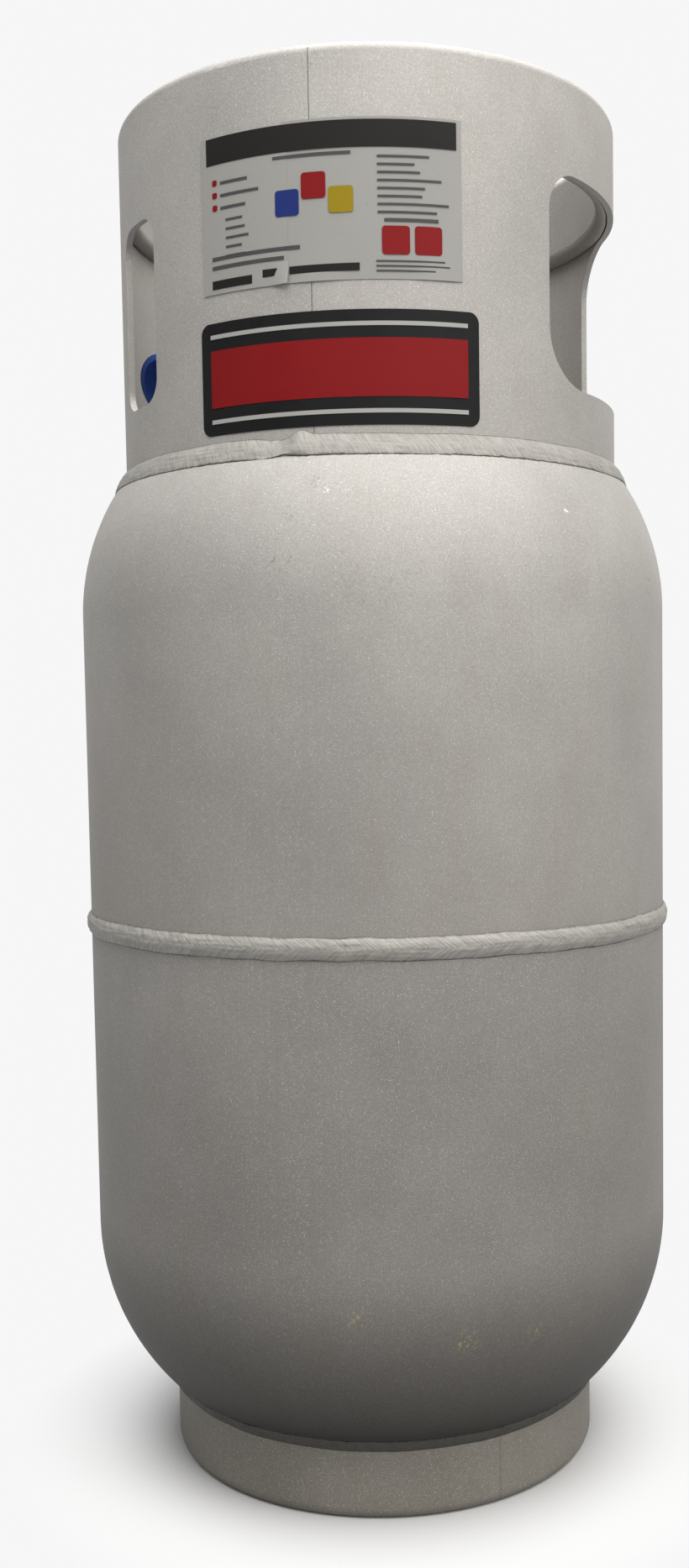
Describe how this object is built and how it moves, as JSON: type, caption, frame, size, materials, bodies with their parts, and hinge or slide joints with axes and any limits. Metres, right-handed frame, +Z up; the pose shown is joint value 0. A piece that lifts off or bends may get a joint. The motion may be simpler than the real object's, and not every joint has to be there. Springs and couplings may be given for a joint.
{
  "type": "propane tank",
  "caption": "Upright aluminium gas cylinder with a welded windowed collar, foot ring and girth weld; valves, gauge and relief valve stand inside the collar.",
  "frame": {"origin": "centre of the foot ring, at the floor", "axes": "+Z up along the tank's axis; +X through the middle of the carrying window; the service outlet points along +X"},
  "size_m": [0.3224, 0.3224, 0.715],
  "materials": {
    "aluminium": "matte, rolled and lightly weathered",
    "weld": "rippled weld bead",
    "foot": "matte, stained by the floor",
    "brass": "machined, dulled",
    "steel": "zinc plated",
    "rubber": "soft",
    "blue_plastic": "moulded",
    "white_plastic": "moulded",
    "nylon": "turned",
    "red_plastic": "moulded",
    "clear": "clear dome",
    "copper": "drawn tube"
  },
  "bodies": {
    "tank": {"upper_shell": "aluminium", "lower_shell": "aluminium", "girth_weld": "weld", "backing_strip": "aluminium", "collar": "aluminium", "collar_weld": "weld", "foot_ring": "foot", "foot_weld": "weld", "boss_welds": "weld", "service_boss": "aluminium", "fill_boss": "aluminium", "relief_boss": "aluminium", "vent_boss": "aluminium", "gauge_adapter": "aluminium", "service_valve_body": "brass", "service_bonnet": "brass", "stem_seals": "rubber", "outlet_coupling": "brass", "poppet_guide": "brass", "poppet_spring": "steel", "outlet_seal": "rubber", "liquid_tube": "aluminium", "fill_valve_body": "brass", "fill_check_spring": "steel", "back_check_spring": "steel", "back_check_guide": "brass", "fill_gasket": "rubber", "strap_ring": "blue_plastic", "cap_strap": "blue_plastic", "relief_body": "brass", "relief_spring": "steel", "relief_adjuster": "brass", "relief_elbow": "brass", "vent_body": "brass", "vent_tube": "copper", "gauge_gasket": "rubber", "gauge_head": "aluminium", "gauge_screws": "steel", "gauge_dial": "white_plastic", "gauge_lens": "clear", "gauge_tube": "aluminium"},
    "handwheel_set": {"handwheel": "blue_plastic", "handwheel_screw": "steel", "upper_stem": "brass"},
    "seat_set": {"lower_stem": "brass", "seat_disc": "nylon"},
    "poppet": {"outlet_poppet": "brass"},
    "fill_check_set": {"fill_check": "brass"},
    "back_check_set": {"back_check": "brass"},
    "relief_set": {"relief_poppet": "brass"},
    "rain_cap": {"rain_cap": "rubber"},
    "bleeder": {"bleeder_screw": "brass"},
    "float_set": {"float_arm": "aluminium", "gauge_float": "rubber"},
    "shaft_set": {"drive_shaft": "aluminium", "gauge_magnet": "steel"},
    "pointer": {"gauge_pointer": "red_plastic"},
    "cap": {"fill_cap": "blue_plastic"}
  },
  "joints": [
    {"name": "handwheel_turn", "type": "hinge", "parent": "tank", "child": "handwheel_set", "pos_m": [0.046, 0, 0.67], "axis": [0, 0, 1], "range_deg": [0, 540]},
    {"name": "seat_lift", "type": "slide", "parent": "handwheel_set", "child": "seat_set", "axis": [0, 0, 1], "range_m": [0, 0.003]},
    {"name": "outlet_poppet_push", "type": "slide", "parent": "tank", "child": "poppet", "axis": [-1, 0, 0], "range_m": [0, 0.005], "stiffness_N_per_m": 400, "springref_m": -0.004, "deforming": ["poppet_spring"]},
    {"name": "fill_check_open", "type": "slide", "parent": "tank", "child": "fill_check_set", "axis": [0, 0, -1], "range_m": [0, 0.008], "stiffness_N_per_m": 500, "springref_m": -0.006, "deforming": ["fill_check_spring"]},
    {"name": "back_check_open", "type": "slide", "parent": "tank", "child": "back_check_set", "axis": [0, 0, -1], "range_m": [0, 0.006], "stiffness_N_per_m": 400, "springref_m": -0.005, "deforming": ["back_check_spring"]},
    {"name": "relief_lift", "type": "slide", "parent": "tank", "child": "relief_set", "axis": [0, 0, 1], "range_m": [0, 0.005], "stiffness_N_per_m": 4000, "springref_m": -0.006, "deforming": ["relief_spring"]},
    {"name": "rain_cap_pull", "type": "slide", "parent": "tank", "child": "rain_cap", "axis": [-0.8257, 0.564, 0], "range_m": [0, 0.02]},
    {"name": "bleeder_turn", "type": "hinge", "parent": "tank", "child": "bleeder", "pos_m": [0.016, -0.062, 0.61], "axis": [0, 0, 1], "range_deg": [0, 360]},
    {"name": "float_swing", "type": "hinge", "parent": "tank", "child": "float_set", "pos_m": [-0.012, -0.0076, 0.436], "axis": [0, 1, 0], "range_deg": [-60, 60]},
    {"name": "shaft_turn", "type": "hinge", "parent": "tank", "child": "shaft_set", "pos_m": [-0.012, 0, 0.5], "axis": [0, 0, 1], "range_deg": [-61, 61]},
    {"name": "pointer_turn", "type": "hinge", "parent": "tank", "child": "pointer", "pos_m": [-0.012, 0, 0.606], "axis": [0, 0, 1], "range_deg": [-61, 61]},
    {"name": "cap_lift", "type": "slide", "parent": "tank", "child": "cap", "axis": [0, 0, 1], "range_m": [0, 0.06], "deforming": ["cap_strap"]}
  ],
  "couplings": [
    {"joint": "seat_lift", "follows": "handwheel_turn", "m_per_rad": 0.000318},
    {"joint": "shaft_turn", "follows": "float_swing", "ratio": -1},
    {"joint": "pointer_turn", "follows": "float_swing", "ratio": -1}
  ]
}
